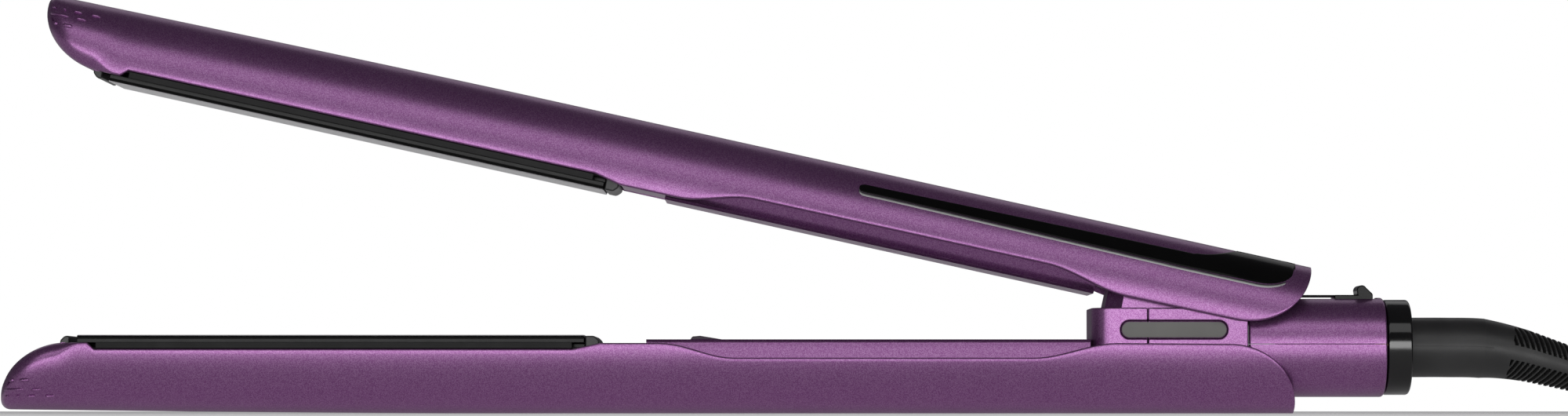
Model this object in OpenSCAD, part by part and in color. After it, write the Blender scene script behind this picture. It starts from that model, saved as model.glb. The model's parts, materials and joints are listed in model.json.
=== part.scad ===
// Hair straightener with rounded shells, resting open on its lower arm.
// X runs from the nose (-X) to the cord (+X) and Z is up. The origin is the middle
// of the body's footprint, on the surface that the lower arm lies on. Millimetres.
// Upper arm parts are drawn closed and are then turned open about the hinge.

/* [Body] */
// Length from the nose to the end collar
body_l = 309; // [305:1:313]
// Width of both arms
arm_w = 30; // [30:0.5:31]
// Height of the plane where the closed arms meet
mid_z = 17.2; // [17.2:0.1:17.4]
// Wall of the two outer shells
shell_wall = 1.8; // [1.6:0.1:1.8]
// Length of the rounded nose
nose_l = 15; // [14:0.5:15]

/* [Hinge] */
// Angle between the arms at rest
open_angle = 12.4; // [12:0.1:12.4]
// Distance from the end of the collar to the hinge pin
hinge_back = 34.6; // [34.4:0.1:34.8]
// Height of the hinge pin
hinge_z = 14.5; // [14.4:0.1:14.6]
// Diameter of the hinge pin
pin_d = 4; // [3:0.5:4]

/* [Plates] */
// Length of the heated plates
plate_l = 110.5; // [108:0.5:112]
// Width of the heated plates
plate_w = 26; // [25.6:0.1:26]
// How far a plate can sink into its arm
plate_float = 0.8; // [0.5:0.1:0.8]

/* [Barrel] */
// Width of the barrel behind the hinge
barrel_w = 25; // [24.8:0.1:25]
// Height of the barrel
barrel_h = 21.8; // [21.6:0.1:21.8]

/* [Cord] */
// Diameter of the cord
cord_d = 6; // [5.5:0.1:6]
// Diameter of the straight part of the strain relief
guard_d = 13.1; // [12.8:0.1:13.2]
// Distance between the centres of the hank's two folds
hank_run = 68; // [66:1:70]

/* [Hidden] */
$fn = 48;

// Colours
purple = [0.42, 0.25, 0.45];
deep_purple = [0.28, 0.16, 0.30];
gloss_black = [0.05, 0.05, 0.05];
plate_black = [0.10, 0.10, 0.11];
carrier_grey = [0.20, 0.20, 0.20];
cap_grey = [0.45, 0.45, 0.45];
inlay_grey = [0.42, 0.42, 0.40];
silver = [0.75, 0.75, 0.76];
steel = [0.62, 0.63, 0.65];
brass_col = [0.80, 0.66, 0.32];
rubber_grey = [0.16, 0.16, 0.16];
cord_black = [0.08, 0.08, 0.08];
board_green = [0.10, 0.35, 0.18];
heater_white = [0.88, 0.86, 0.80];
red = [0.70, 0.12, 0.10];

// Places along X
nose_x = -body_l / 2;
collar_end = body_l / 2;
hinge_x = collar_end - hinge_back;
plate_x0 = nose_x + 17.9;
plate_x1 = plate_x0 + plate_l;
cover_x0 = plate_x1 + 13.5;
housing_x0 = hinge_x - 35.4;
housing_seam = housing_x0 + 12.2;
housing_x1 = hinge_x - 1.4;
barrel_x0 = hinge_x - 1.1;
barrel_x1 = hinge_x + 29;
cover_x1 = housing_x0 - 0.3;
rear_arc = hinge_x - 5.5;
shell_end = hinge_x + 9.1;

// Heights of the shell's rim along the lower arm
tip_z = 3;
hump_z = 15.4;
plate_rim_z = 14;
handle_rim_z = 15.3;
hinge_rim_z = 15.1;
end_rim_z = 1.2;
scoop_depth = 3.2;

// Shape of the shell's section and nose
section_power = 2.4;
plan_power = 2.8;
nose_power = 1.8;
foot_flat = 0.3;
front_rise = 0.9;
front_rise_l = 105;
ring_steps = 20;
corner_steps = 3;

// Gaps
fit_gap = 0.1;
part_gap = 0.3;

// ---------------------------------------------------------------- functions

function clamp(v, low, high) = min(max(v, low), high);
function ease(u) = let (c = clamp(u, 0, 1)) c * c * (3 - 2 * c);
// Rises from 0 at u = 0 to 1 at u = 1 along a quarter of a superellipse
function quarter(u, n) = pow(1 - pow(1 - clamp(u, 0, 1), n), 1 / n);
function signed_pow(v, n) = sign(v) * pow(abs(v), n);

function shell_half_w(x) = arm_w / 2 * quarter((x - nose_x) / nose_l, plan_power);
function shell_bottom(x) =
    front_rise * pow(clamp((nose_x + front_rise_l - x) / front_rise_l, 0, 1), 1.5)
    + (tip_z - front_rise) * (1 - quarter((x - nose_x) / 2.4, 2));
function nose_top(x) = tip_z + (hump_z - tip_z) * quarter((x - nose_x) / nose_l, nose_power);
function scoop(x) = scoop_depth * ease((x - cover_x0 - 3) / 16) * ease((hinge_x - 30 - x) / 18);
function shell_rim(x) =
    x < nose_x + nose_l ? nose_top(x)
    : x < rear_arc ? lookup(x, [
        [nose_x + 20.3, hump_z], [nose_x + 21.9, plate_rim_z],
        [plate_x1 - 2.4, plate_rim_z], [plate_x1 + 3.5, handle_rim_z],
        [housing_x0, handle_rim_z], [rear_arc, hinge_rim_z]]) - scoop(x)
    : end_rim_z + (hinge_rim_z - end_rim_z)
        * sqrt(max(0, 1 - pow((x - rear_arc) / (shell_end - rear_arc), 2)));
function edge_radius(x) =
    min(0.45 * (nose_top(x) - shell_bottom(x)), 3 - 2.6 * ease((x - nose_x - 13) / 6));

// One ring of the shell at x, grown outwards by g and cut off level at height top
function shell_ring(x, g, top, r) =
    let (
        w = max(shell_half_w(x) + g, 0.2),
        zb = shell_bottom(x) - g,
        zc = (x < nose_x + nose_l ? nose_top(x) : hump_z) - edge_radius(x),
        zm = min(top - r, zc),
        deep = zc - zb + foot_flat,
        t0 = asin(pow(clamp((zc - zm) / deep, 0, 1), section_power / 2)),
        wm = w * pow(cos(t0), 2 / section_power)
    )
    concat(
        [for (i = [0:ring_steps]) let (t = t0 + (180 - 2 * t0) * i / ring_steps)
            [x, -w * signed_pow(cos(t), 2 / section_power),
             max(zb, zc - deep * pow(sin(t), 2 / section_power))]],
        [for (i = [1:corner_steps]) let (a = 90 * i / corner_steps)
            [x, wm - r * (1 - cos(a)), top - r + r * sin(a)]],
        [for (i = [corner_steps:-1:1]) let (a = 90 * i / corner_steps)
            [x, -wm + r * (1 - cos(a)), top - r + r * sin(a)]]
    );

nose_stations = [for (i = [0:9]) nose_x + 0.002 + nose_l * (1 - cos(9 * i))];
body_stations = [
    nose_x + nose_l, nose_x + 18, nose_x + 20.3, nose_x + 21.9, nose_x + 50, nose_x + 80,
    nose_x + front_rise_l, plate_x1 - 2.4, plate_x1 + 3.5, cover_x0
];
scoop_stations = concat(
    [for (i = [0:5]) cover_x0 + 3 + 3.2 * i],
    [hinge_x - 70],
    [for (i = [0:5]) hinge_x - 48 + 3.6 * i]
);
rear_stations = concat(
    [housing_x0 + 6, housing_x0 + 20],
    [for (i = [0:8]) rear_arc + (shell_end - rear_arc) * sin(11.25 * i)]
);
outer_stations = concat(nose_stations, body_stations, scoop_stations, rear_stations);
panel_stations = [for (x = outer_stations) if (x > plate_x1 + 20) x];
cavity_stations = concat(
    [nose_x + 14, nose_x + 18, nose_x + 50, nose_x + 80, nose_x + front_rise_l],
    [cover_x0, hinge_x + 12]
);

// Points of a ring of radius r round p, square to the direction d in space
function tube_ring(p, d, r, sides) =
    let (a = cross(d, [0, 1, 0]) / norm(cross(d, [0, 1, 0])), b = cross(d, a) / norm(d))
    [for (i = [0:sides - 1]) p + r * (cos(360 * i / sides) * a + sin(360 * i / sides) * b)];
function direction(path, i) =
    let (v = path[min(i + 1, len(path) - 1)] - path[max(i - 1, 0)]) v / norm(v);
// A smooth curve through the points: steps places on each stretch
function smooth(p, steps) = [
    for (i = [0:len(p) - 2], s = [0:(i == len(p) - 2 ? steps : steps - 1)])
        let (
            t = s / steps, p1 = p[i], p2 = p[i + 1],
            p0 = i == 0 ? 2 * p1 - p2 : p[i - 1],
            p3 = i == len(p) - 2 ? 2 * p2 - p1 : p[i + 2]
        )
        0.5 * (2 * p1 + (p2 - p0) * t + (2 * p0 - 5 * p1 + 4 * p2 - p3) * t * t
            + (3 * p1 - p0 - 3 * p2 + p3) * t * t * t)
];

// ---------------------------------------------------------------- shared shapes

// A solid through rings that all have the same number of points
module loft(rings) {
    n = len(rings[0]);
    m = len(rings);
    polyhedron(
        points = [for (ring = rings, p = ring) p],
        faces = concat(
            [[for (i = [0:n - 1]) i]],
            [for (k = [0:m - 2], i = [0:n - 1], h = [0, 1]) let (j = (i + 1) % n)
                h == 0 ? [k * n + i, (k + 1) * n + i, (k + 1) * n + j]
                       : [k * n + i, (k + 1) * n + j, k * n + j]],
            [[for (i = [n - 1:-1:0]) (m - 1) * n + i]]
        )
    );
}

// A tube of radii r along the path
module tube(path, r, sides) {
    loft([for (i = [0:len(path) - 1])
        tube_ring(path[i], direction(path, i), is_list(r) ? r[i] : r, sides)]);
}

// A coil spring that stands on the XY plane
module coil_spring(r, wire_r, turns, h) {
    steps = 10;
    rise = h - 2 * wire_r;
    loft([for (i = [0:turns * steps])
        let (a = 360 * i / steps, k = i / (turns * steps), flat = [cos(a), sin(a), 0])
        [for (s = [0:5]) r * flat + [0, 0, wire_r + rise * k]
            + wire_r * (cos(60 * s) * flat - sin(60 * s) * [0, 0, 1])]]);
}

module outer_form() {
    loft([for (x = outer_stations) shell_ring(x, 0, shell_rim(x), edge_radius(x))]);
}

// What lies deeper than depth under the shell's surface, open at the top
module core_form(stations, depth) {
    loft([for (x = stations) shell_ring(x, -depth, 40, 0.1)]);
}

// Turns what is drawn for the lower arm into its twin on the closed upper arm
module mirrored() { translate([0, 0, 2 * mid_z]) mirror([0, 0, 1]) children(); }

// Turns what is drawn closed to where it stands with the arms open
module opened() {
    translate([hinge_x, 0, hinge_z]) rotate([0, open_angle, 0])
        translate([-hinge_x, 0, -hinge_z]) children();
}

// Extrudes an outline of X and Z across the body, from y0 to y1
module across(y0, y1) {
    translate([0, y1, 0]) rotate([90, 0, 0]) linear_extrude(y1 - y0) children();
}

// Extrudes an outline of Y and Z along the body, from x0 to x1
module along(x0, x1) {
    translate([x0, 0, 0]) rotate([90, 0, 90]) linear_extrude(x1 - x0) children();
}

module both_sides() {
    children();
    mirror([0, 1, 0]) children();
}

module box(x, y, z) {
    translate([x[0], y[0], z[0]]) cube([x[1] - x[0], y[1] - y[0], z[1] - z[0]]);
}

module rod_x(x0, x1, y, z, r) {
    translate([x0, y, z]) rotate([0, 90, 0]) cylinder(r = r, h = x1 - x0);
}

module rod_y(y0, y1, x, z, r) {
    translate([x, y0, z]) rotate([-90, 0, 0]) cylinder(r = r, h = y1 - y0);
}

// An oval with flattened sides, w wide and h high
module oval(w, h) {
    n = 2.5;
    polygon([for (a = [0:9:351])
        [w / 2 * signed_pow(cos(a), 2 / n), h / 2 * signed_pow(sin(a), 2 / n)]]);
}

// A pill with its long side along X, standing on the XZ plane
module pill(x0, x1, z, h) {
    translate([x0 + h / 2, z - h / 2]) square([x1 - x0 - h, h]);
    for (x = [x0 + h / 2, x1 - h / 2]) translate([x, z]) circle(h / 2);
}

// ---------------------------------------------------------------- arm parts

screw_places = [cover_x0 + 20, cover_x0 + 50];
screw_r = 1;
screw_head_r = 2;

// The shell is set to the arm's width in one piece, with the posts for its screws
module shell_body() {
    resize([0, arm_w, 0]) union() {
        difference() {
            outer_form();
            core_form(cavity_stations, shell_wall);
        }
        for (x = screw_places) difference() {
            translate([x, 0, 1]) cylinder(r = 2.6, h = 12.2, $fn = 24);
            translate([x, 0, 3]) cylinder(r = screw_r + 0.02, h = 20, $fn = 24);
        }
    }
}

cover_low_z = 11.2;
cover_top_z = 16.1;
cover_half_w = 12.6;

module inner_cover(x1) {
    lip_z = hump_z + fit_gap;
    difference() {
        union() {
            box([plate_x1 + 3.6, cover_x0 + 1], [-cover_half_w, cover_half_w], [cover_low_z, 15.2]);
            along(cover_x0, x1) polygon([
                [-cover_half_w, cover_low_z], [cover_half_w, cover_low_z],
                [cover_half_w, lip_z], [14.2, lip_z], [13.6, cover_top_z],
                [-13.6, cover_top_z], [-14.2, lip_z], [-cover_half_w, lip_z]]);
        }
        box([plate_x1 + 5.2, x1 - 1.6], [-cover_half_w + 1.4, cover_half_w - 1.4],
            [cover_low_z - 1, 13.5]);
        for (x = screw_places) {
            translate([x, 0, 10]) cylinder(r = screw_r + 0.1, h = 10);
            translate([x, 0, cover_top_z - 1.4]) cylinder(r = screw_head_r + 0.2, h = 3);
        }
    }
}

module cover_screws() {
    for (x = screw_places) translate([x, 0, 0]) difference() {
        union() {
            translate([0, 0, 5]) cylinder(r = screw_r, h = cover_top_z - 6.3);
            translate([0, 0, cover_top_z - 1.35]) cylinder(r = screw_head_r, h = 1.1);
        }
        for (a = [0, 90]) translate([0, 0, cover_top_z]) rotate(a) cube([2.4, 0.5, 1.2], center = true);
    }
}

carrier_floor_z = 7;
carrier_floor_t = 1.2;
plate_seat_z = 14.4;
plate_low_z = plate_seat_z + plate_float + fit_gap;
plate_top_z = mid_z - 0.1;

// The carrier is narrow under the rim's raised ends, and has a flange between them
module carrier() {
    half = [
        [10.4, carrier_floor_z], [10.6, 12.8], [12.9, 12.8], [12.9, plate_seat_z],
        [9.4, plate_seat_z], [9.4, carrier_floor_z + carrier_floor_t]];
    other = [for (i = [len(half) - 1:-1:0]) [-half[i][0], half[i][1]]];
    along(plate_x0 - 1.6, plate_x1 + 0.1) polygon(concat(half, other));
    both_sides() along(nose_x + 22.2, plate_x1 - 2.6) polygon([
        [12.8, plate_rim_z + fit_gap], [14.7, plate_rim_z + fit_gap], [14.7, 15.5],
        [13.6, 15.5], [13.6, plate_seat_z], [12.8, plate_seat_z]]);
}

cap_low_z = 11.5;
cap_half_w = 12.6;

module front_cap() {
    across(-cap_half_w, cap_half_w) polygon([
        [plate_x0 - 3.7, cap_low_z], [plate_x0 - 1.7, cap_low_z], [plate_x0 - 1.7, 16.9],
        [plate_x0 - 2.7, 16.9], [plate_x0 - 3.7, 15.9]]);
}

module rear_cap() {
    across(-cap_half_w, cap_half_w) polygon([
        [plate_x1 + 0.2, cap_low_z], [plate_x1 + 3.2, cap_low_z], [plate_x1 + 3.2, 15.9],
        [plate_x1 + 2.2, 16.9], [plate_x1 + 0.2, 16.9]]);
}

channel_half_w = 6.2;
clip_z = 10.9;
ptc_x = [plate_x0 + 26, plate_x0 + 86];

// The heated plate: a slab with rounded long edges and a channel for the heater below
module plate() {
    edge = (plate_top_z - plate_low_z) / 2;
    hw = plate_w / 2;
    along(plate_x0, plate_x1) {
        translate([-hw + edge, plate_low_z]) square([plate_w - 2 * edge, plate_top_z - plate_low_z]);
        translate([-hw, plate_low_z]) square([plate_w, plate_top_z - plate_low_z - edge]);
        for (s = [-1, 1]) {
            translate([s * (hw - edge), plate_top_z - edge]) circle(edge);
            translate([s * (channel_half_w + 0.6) - 0.6, clip_z])
                square([1.2, plate_low_z - clip_z + 0.1]);
        }
    }
}

module ptc_heater() {
    box(ptc_x, [-6, 6], [12.1, plate_low_z - 0.05]);
}

module heater_clip() {
    box([ptc_x[0] - 4, ptc_x[1] + 4], [-6.1, 6.1], [clip_z, clip_z + 0.9]);
    for (x = [ptc_x[0] + 8, ptc_x[1] - 14])
        box([x, x + 6], [-2, 2], [clip_z + 0.9, 12.05]);
}

spring_places = [ptc_x[0] + 3, (ptc_x[0] + ptc_x[1]) / 2, ptc_x[1] - 3];

module plate_springs() {
    floor_z = carrier_floor_z + carrier_floor_t;
    for (x = spring_places) translate([x, 0, floor_z + 0.02])
        coil_spring(r = 2.4, wire_r = 0.3, turns = 3, h = clip_z - floor_z - 0.05);
}

lead_z = 4.7;

module heater_leads(y, x1) {
    both_sides() {
        rod_x(plate_x1 - 22, x1, y, lead_z, 1.1);
        translate([plate_x1 - 22, y, lead_z]) sphere(r = 1.1);
    }
}

stop_x = plate_x1 + 22.9;

module closing_stop() {
    color(rubber_grey) across(-5, 5) polygon([
        [stop_x, cover_top_z], [stop_x + 0.5, 16.85], [stop_x + 2.2, 17],
        [stop_x + 7.7, cover_top_z]]);
}

module lower_outer_shell() { color(purple) shell_body(); }
module lower_inner_cover() { color(purple) inner_cover(cover_x1); }
module lower_plate_carrier() { color(carrier_grey) carrier(); }
module lower_front_cap() { color(cap_grey) front_cap(); }
module lower_rear_cap() { color(cap_grey) rear_cap(); }
module lower_heater_plate() { color(plate_black) plate(); }
module lower_ptc_heater() { color(heater_white) ptc_heater(); }
module lower_heater_clip() { color(steel) heater_clip(); }
module lower_plate_springs() { color(steel) plate_springs(); }
module lower_leads() { color(red) heater_leads(4, housing_x0 + 10); }
module lower_screws() { color(steel) cover_screws(); }

module upper_inner_cover() { color(purple) opened() mirrored() inner_cover(cover_x1 - 1); }
module upper_plate_carrier() { color(carrier_grey) opened() mirrored() carrier(); }
module upper_front_cap() { color(cap_grey) opened() mirrored() front_cap(); }
module upper_rear_cap() { color(cap_grey) opened() mirrored() rear_cap(); }
module upper_heater_plate() { color(plate_black) opened() mirrored() plate(); }
module upper_ptc_heater() { color(heater_white) opened() mirrored() ptc_heater(); }
module upper_heater_clip() { color(steel) opened() mirrored() heater_clip(); }
module upper_plate_springs() { color(steel) opened() mirrored() plate_springs(); }
module upper_leads() { color(red) opened() mirrored() heater_leads(6.6, housing_x0 + 1); }
module upper_screws() { color(steel) opened() mirrored() cover_screws(); }

module thermistor() {
    color(heater_white) opened() mirrored() rod_x(plate_x0 + 8, plate_x0 + 14, 0, 13.6, 1.3);
}

module thermal_fuse() {
    color(steel) opened() mirrored() rod_x(ptc_x[1] + 5, ptc_x[1] + 15, 0, 13.5, 1.5);
}

// ---------------------------------------------------------------- controls

panel_x0 = hinge_x - 91.5;
panel_x1 = hinge_x + 5.5;
panel_depth = 0.9;
tongue_r = 10.2;
tongue_end = hinge_x - 6.8;
rim_t = 0.7;

// Side view of the panel's two prongs and its rear bridge, down to drop below its edge
module panel_side_view(drop) {
    polygon([
        [panel_x0, 4.4], [panel_x0 + 6, 3.5], [hinge_x - 20, 2.8], [tongue_end - tongue_r, 2.8],
        [tongue_end - tongue_r, -2], [panel_x1, -2], [panel_x1, 6.3 + drop],
        [hinge_x - 20, 6.3 + drop], [panel_x0 + 6, 5.4 + drop], [panel_x0, 4.4 + drop]]);
}

module panel_region(drop) {
    difference() {
        across(-20, 20) panel_side_view(drop);
        translate([0, 0, -3]) linear_extrude(12) {
            translate([panel_x0 - 1, -tongue_r])
                square([tongue_end - tongue_r - panel_x0 + 1, 2 * tongue_r]);
            translate([tongue_end - tongue_r, 0]) circle(tongue_r);
        }
    }
}

button_places = [hinge_x - 70, hinge_x - 58, hinge_x - 44];
button_r = 3;
power_r = 4;
button_low_z = 4.6;
button_top_z = 0.15;
lens_x = hinge_x - 30;

module upper_outer_shell() {
    color(purple) opened() mirrored() resize([0, arm_w, 0]) difference() {
        shell_body();
        difference() {
            panel_region(rim_t);
            core_form(panel_stations, panel_depth);
        }
        for (i = [0:2]) translate([button_places[i], 0, -1])
            cylinder(r = (i == 2 ? power_r : button_r) + part_gap, h = 4.5, $fn = 32);
        translate([lens_x, 0, -1]) cylinder(r = 1.4, h = 4.5, $fn = 24);
    }
}

// The part of the shell's outer layer that lies within the region drawn as a child
module shell_inlay() {
    difference() {
        intersection() {
            outer_form();
            children();
        }
        core_form(panel_stations, panel_depth - 0.05);
    }
}

module control_panel() {
    color(gloss_black) opened() mirrored() resize([panel_x1 - panel_x0, 0, 0])
        shell_inlay() panel_region(0);
}

// A bright line along the lower edge of each prong
module panel_rim() {
    gap = 0.03;
    color(silver) opened() mirrored() resize([panel_x1 - panel_x0, 0, 0])
        shell_inlay() across(-20, 20) polygon([
            [panel_x0, 4.4 + gap], [panel_x0 + 6, 5.4 + gap], [hinge_x - 20, 6.3 + gap],
            [panel_x1, 6.3 + gap], [panel_x1, 6.3 + rim_t - gap], [hinge_x - 20, 6.3 + rim_t - gap],
            [panel_x0 + 6, 5.4 + rim_t - gap], [panel_x0, 4.4 + rim_t - gap]]);
}

module panel_button(i) {
    r = i == 2 ? power_r : button_r;
    opened() mirrored() translate([button_places[i], 0, 0]) {
        translate([0, 0, button_top_z]) cylinder(r = r, h = 2.6);
        translate([0, 0, 2.7]) cylinder(r = r + 0.7, h = 0.8);
        translate([0, 0, 2]) cylinder(r = 1.4, h = button_low_z - 2);
    }
}

module heat_down_button() { color(gloss_black) panel_button(0); }
module heat_up_button() { color(gloss_black) panel_button(1); }
module power_button() { color(silver) panel_button(2); }

module indicator_lens() {
    color(red) opened() mirrored() translate([lens_x, 0, 0.1]) cylinder(r = 1.3, h = 2.4);
}

board_z = [6.8, 8.4];
board_x = [plate_x1 + 34, cover_x1 - 0.5];

module circuit_board() {
    color(board_green) opened() mirrored() difference() {
        box(board_x, [-9, 9], board_z);
        for (x = screw_places) translate([x, 0, 6]) cylinder(r = 3, h = 4);
    }
}

module tact_switches() {
    color(steel) opened() mirrored() for (x = button_places)
        box([x - 3, x + 3], [-3, 3], [5.2, board_z[0] - 0.02]);
}

module board_parts() {
    color(gloss_black) opened() mirrored() {
        rod_x(board_x[0] + 30, board_x[0] + 40, 5.5, 10.9, 2.4);
        box([board_x[0] + 3, board_x[0] + 12], [-8, -2], [board_z[1] + 0.02, 11]);
        box([board_x[0] + 30, board_x[0] + 42], [-8, -4], [board_z[1] + 0.02, 10.6]);
    }
}

// ---------------------------------------------------------------- hinge

knuckle_front = housing_x0 + 2;
knuckle_back = hinge_x - 10.4;
bush_r = 3;
boss_r = 5;
running = 0.05;

// Plan of the knuckle's block, with its front corners cut off
module knuckle_plan(half_w) {
    cut = 3.4;
    polygon([
        [knuckle_front, cut - half_w], [knuckle_front + cut, -half_w], [knuckle_back, -half_w],
        [knuckle_back, half_w], [knuckle_front + cut, half_w], [knuckle_front, half_w - cut]]);
}

module hinge_knuckle() {
    web_x = hinge_x - 2.1;
    color(deep_purple) opened() difference() {
        union() {
            translate([0, 0, 15.5]) linear_extrude(11.9) knuckle_plan(10.3);
            translate([0, 0, 27.3]) linear_extrude(2.9) knuckle_plan(8);
            across(-5.6, 5.6) {
                translate([hinge_x, hinge_z]) circle(boss_r);
                polygon([
                    [knuckle_back - 0.5, 15.5], [hinge_x - 4.2, 11.8], [hinge_x, hinge_z],
                    [web_x, 19], [web_x, 27.4], [hinge_x + 1.1, 27.4],
                    [hinge_x + 1.1, 29.4], [knuckle_back - 0.5, 29.4]]);
            }
        }
        rod_y(-6, 6, hinge_x, hinge_z, bush_r);
    }
}

module hinge_bush() {
    color(brass_col) opened() difference() {
        rod_y(-5.6, 5.6, hinge_x, hinge_z, bush_r);
        rod_y(-6, 6, hinge_x, hinge_z, pin_d / 2 + running);
    }
}

module hinge_pin() {
    color(steel) rod_y(-9.7, 9.7, hinge_x, hinge_z, pin_d / 2);
}

bracket_x0 = hinge_x - 24;
bracket_top_z = 7.4;

module hinge_bracket() {
    color(steel) difference() {
        union() {
            box([bracket_x0, hinge_x - 1.7], [-9.4, 9.4], [5.4, bracket_top_z]);
            box([bracket_x0, hinge_x - 1.7], [-6.6, 6.6], [3.5, 5.5]);
            both_sides() across(6, 9.4) {
                translate([hinge_x, hinge_z]) circle(4.8);
                polygon([
                    [hinge_x - 13, bracket_top_z - 0.5], [hinge_x - 1.7, bracket_top_z - 0.5],
                    [hinge_x, 12], [hinge_x - 3.9, 17]]);
            }
        }
        rod_y(-10, 10, hinge_x, hinge_z, pin_d / 2);
    }
}

module hinge_spring() {
    color(steel) translate([hinge_x - 15, 0, bracket_top_z + 0.05])
        coil_spring(r = 3.2, wire_r = 0.45, turns = 6, h = 10.3);
}

// The catch on the upper arm: a strip bent into a stirrup that the slider passes through
catch_x = [hinge_x + 5.3, hinge_x + 6.9];
catch_z = 26.2;
strip_t = 0.5;

module lock_catch() {
    color(steel) opened() {
        box(catch_x, [-4.4, 4.4], [catch_z, catch_z + strip_t]);
        both_sides() box(catch_x, [3.7, 4.4], [catch_z, 30]);
        box([hinge_x - 3, catch_x[1]], [-4.4, 4.4], [29.45, 30]);
    }
}

housing_z = [11.6, 23];
housing_half_w = 12.6;
housing_wall = 1.6;
housing_r = 5;
inlay_z = 18.2;
inlay_h = 3.4;
inlay_x = [hinge_x - 28.9, hinge_x - 6.1];
inlay_depth = 0.6;

// Plan of the housing's front piece, set in by the given amount
module front_plan(inset) {
    r = housing_r - inset;
    x0 = housing_x0 + inset;
    w = housing_half_w - inset;
    translate([x0 + r, -w]) square([housing_seam - x0 - r - fit_gap, 2 * w]);
    translate([x0, -w + r]) square([r + 1, 2 * (w - r)]);
    for (s = [-1, 1]) translate([x0 + r, s * (w - r)]) circle(r);
}

module inlay_pockets() {
    both_sides() across(housing_half_w - inlay_depth, housing_half_w + 1)
        pill(inlay_x[0] - part_gap, inlay_x[1] + part_gap, inlay_z, inlay_h + 2 * part_gap);
}

module housing_front() {
    color(purple) difference() {
        translate([0, 0, housing_z[0]]) linear_extrude(housing_z[1] - housing_z[0]) front_plan(0);
        translate([0, 0, housing_z[0] + housing_wall]) linear_extrude(20)
            front_plan(housing_wall);
        box([housing_seam - 2, housing_seam + 2],
            [-housing_half_w + housing_wall, housing_half_w - housing_wall],
            [housing_z[0] + housing_wall, 30]);
        inlay_pockets();
    }
}

module housing_rear() {
    color(purple) difference() {
        union() {
            both_sides() box([housing_seam + fit_gap, housing_x1],
                [housing_half_w - housing_wall, housing_half_w], housing_z);
            box([housing_seam + fit_gap, housing_seam + 2.6],
                [-housing_half_w, housing_half_w], [housing_z[0], housing_z[0] + housing_wall]);
        }
        inlay_pockets();
    }
}

module housing_inlays() {
    color(inlay_grey) both_sides()
        across(housing_half_w - inlay_depth + 0.02, housing_half_w + 0.1)
            pill(inlay_x[0], inlay_x[1], inlay_z, inlay_h);
}

// ---------------------------------------------------------------- barrel

barrel_z = 14.5;
barrel_wall = 2;
barrel_split = 15.1;
slot_half_w = 5.8;
groove_half_w = 4.3;
groove_z = 24.4;
groove_x1 = hinge_x + 27.8;
collar_x0 = barrel_x1 + 0.2;
neck_r = 5;
neck_end = collar_end + fit_gap;
flange_x = [hinge_x + 23.6, hinge_x + 26.6];

module barrel_tube() {
    difference() {
        along(barrel_x0, barrel_x1) translate([0, barrel_z]) oval(barrel_w, barrel_h);
        along(barrel_x0 - 1, barrel_x1 - 2.2) translate([0, barrel_z])
            oval(barrel_w - 2 * barrel_wall, barrel_h - 2 * barrel_wall);
        rod_x(barrel_x1 - 3, barrel_x1 + 1, 0, barrel_z, 7.2);
    }
}

module barrel_upper() {
    color(purple) difference() {
        barrel_tube();
        box([barrel_x0 - 1, barrel_x1 + 1], [-20, 20], [0, barrel_split + fit_gap]);
        box([barrel_x0 - 1, hinge_x + 10.6], [-slot_half_w, slot_half_w], [barrel_z, 30]);
        box([hinge_x + 9, groove_x1], [-groove_half_w, groove_half_w], [groove_z, 30]);
    }
}

module barrel_lower() {
    color(purple) difference() {
        barrel_tube();
        box([barrel_x0 - 1, barrel_x1 + 1], [-20, 20], [barrel_split - fit_gap, 30]);
    }
}

tongue_z = [25.48, 25.98];
slider_x = [hinge_x + 18.4, hinge_x + 26.8];
hook_top_z = 28.1;

module lock_slider() {
    color(gloss_black) {
        box([slider_x[0], slider_x[1]], [-4, 4], [groove_z + 0.1, tongue_z[1]]);
        box([hinge_x + 9.8, slider_x[0] + 1], [-3, 3], tongue_z);
        across(-4, 4) {
            translate([slider_x[1] - 2.4, hook_top_z - 1.1]) circle(1.1);
            polygon([
                [slider_x[1] - 3.3, tongue_z[1] - 0.5], [slider_x[1], tongue_z[1] - 0.5],
                [slider_x[1], tongue_z[1] + 0.2], [slider_x[1] - 1.5, hook_top_z - 0.5],
                [slider_x[1] - 3.5, hook_top_z - 1.1]]);
        }
    }
}

module end_collar() {
    color(gloss_black) difference() {
        along(collar_x0, collar_end) translate([0, barrel_z]) oval(24, 20.9);
        rod_x(collar_x0 - 1, collar_end + 1, 0, barrel_z, 7);
    }
}

module swivel_bush() {
    color(brass_col) difference() {
        rod_x(barrel_x1 - 2, collar_end - 0.1, 0, barrel_z, 7);
        rod_x(barrel_x1 - 3, collar_end + 1, 0, barrel_z, neck_r + running);
    }
}

module swivel_neck() {
    color(rubber_grey) difference() {
        union() {
            rod_x(flange_x[0], neck_end, 0, barrel_z, neck_r);
            rod_x(flange_x[0], flange_x[1], 0, barrel_z, 7.4);
        }
        rod_x(flange_x[0] - 1, collar_end + 1, 0, barrel_z, cord_d / 2 + 0.2);
    }
}

// ---------------------------------------------------------------- cord

// Centre line of the strain relief: straight out of the collar, then bent down
guard_path = smooth([
    [neck_end, 0, barrel_z], [163, 0, 14.5], [171, 0, 14.3], [179, 0, 13], [187, 0, 10.8],
    [196, 0, 8.2], [204, 0, 6.4]
], 3);

module strain_relief() {
    last = len(guard_path) - 1;
    straight = 6;
    end_r = cord_d / 2 + 0.9;
    color(rubber_grey) tube(guard_path, [for (i = [0:last])
        i <= straight ? guard_d / 2
        : guard_d / 2 + (end_r - guard_d / 2) * pow((i - straight) / (last - straight), 0.85)], 24);
}

// Route of the cord from the strain relief to the hank, on the surface
lead_route = [
    [204, 0, 6.4], [211, -1, 5], [218, -4, 4], [226, -9, 3.6], [234, -15, 3.8], [239, -19, 3.9]
];
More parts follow.
